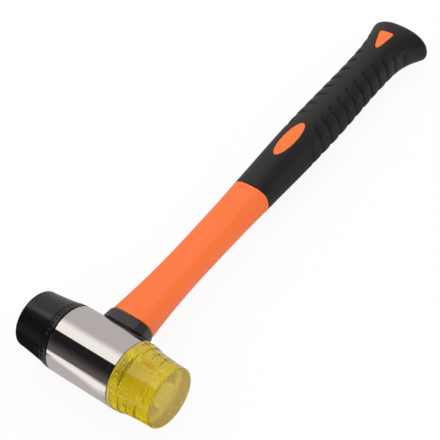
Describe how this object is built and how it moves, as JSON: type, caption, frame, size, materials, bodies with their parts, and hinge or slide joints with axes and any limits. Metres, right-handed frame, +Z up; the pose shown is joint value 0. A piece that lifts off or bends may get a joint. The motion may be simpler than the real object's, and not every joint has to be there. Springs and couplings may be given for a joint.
{
  "type": "dead blow mallet",
  "caption": "Soft-face mallet: chrome tube head with a black rubber and a clear amber screw-on face, orange shaft and ribbed black grip.",
  "frame": {"origin": "on the floor under the middle of the overall box, the mallet lying on its side", "axes": "+X along the head axis towards the clear face, +Y from the head to the butt, +Z up through the broad side of the grip"},
  "size_m": [0.0846, 0.2874, 0.035],
  "materials": {
    "head_tube": "polished chrome plate",
    "eye_block": "as cast",
    "eye_bond": "cured resin",
    "black_end_plug": "turned",
    "yellow_end_plug": "turned",
    "black_stud": "zinc plated",
    "yellow_stud": "zinc plated",
    "black_shot": "loose shot",
    "yellow_shot": "loose shot",
    "yellow_face": "clear amber, glossy",
    "black_face": "satin rubber",
    "black_face_insert": "turned",
    "handle_core": "glass fibre rod",
    "handle_jacket": "moulded orange",
    "handle_collar": "moulded black",
    "grip_sleeve": "soft matt rubber",
    "grip_leaf_top": "moulded orange",
    "grip_pick_top": "moulded orange",
    "grip_leaf_bottom": "moulded orange",
    "grip_pick_bottom": "moulded orange"
  },
  "bodies": {
    "mallet": {"head_tube": "head_tube", "eye_block": "eye_block", "eye_bond": "eye_bond", "black_end_plug": "black_end_plug", "yellow_end_plug": "yellow_end_plug", "black_stud": "black_stud", "yellow_stud": "yellow_stud", "handle_core": "handle_core", "handle_jacket": "handle_jacket", "handle_collar": "handle_collar", "grip_sleeve": "grip_sleeve", "grip_leaf_top": "grip_leaf_top", "grip_pick_top": "grip_pick_top", "grip_leaf_bottom": "grip_leaf_bottom", "grip_pick_bottom": "grip_pick_bottom"},
    "yellow_cap": {"yellow_face": "yellow_face"},
    "black_cap": {"black_face": "black_face", "black_face_insert": "black_face_insert"},
    "yellow_charge": {"yellow_shot": "yellow_shot"},
    "black_charge": {"black_shot": "black_shot"}
  },
  "joints": [
    {"name": "yellow_face_unscrew", "type": "slide", "parent": "mallet", "child": "yellow_cap", "axis": [1, 0, 0], "range_m": [0, 0.017]},
    {"name": "black_face_unscrew", "type": "slide", "parent": "mallet", "child": "black_cap", "axis": [-1, 0, 0], "range_m": [0, 0.017]},
    {"name": "yellow_shot_shift", "type": "slide", "parent": "mallet", "child": "yellow_charge", "axis": [1, 0, 0], "range_m": [-0.0009, 0.0009]},
    {"name": "black_shot_shift", "type": "slide", "parent": "mallet", "child": "black_charge", "axis": [1, 0, 0], "range_m": [-0.0009, 0.0009]}
  ]
}
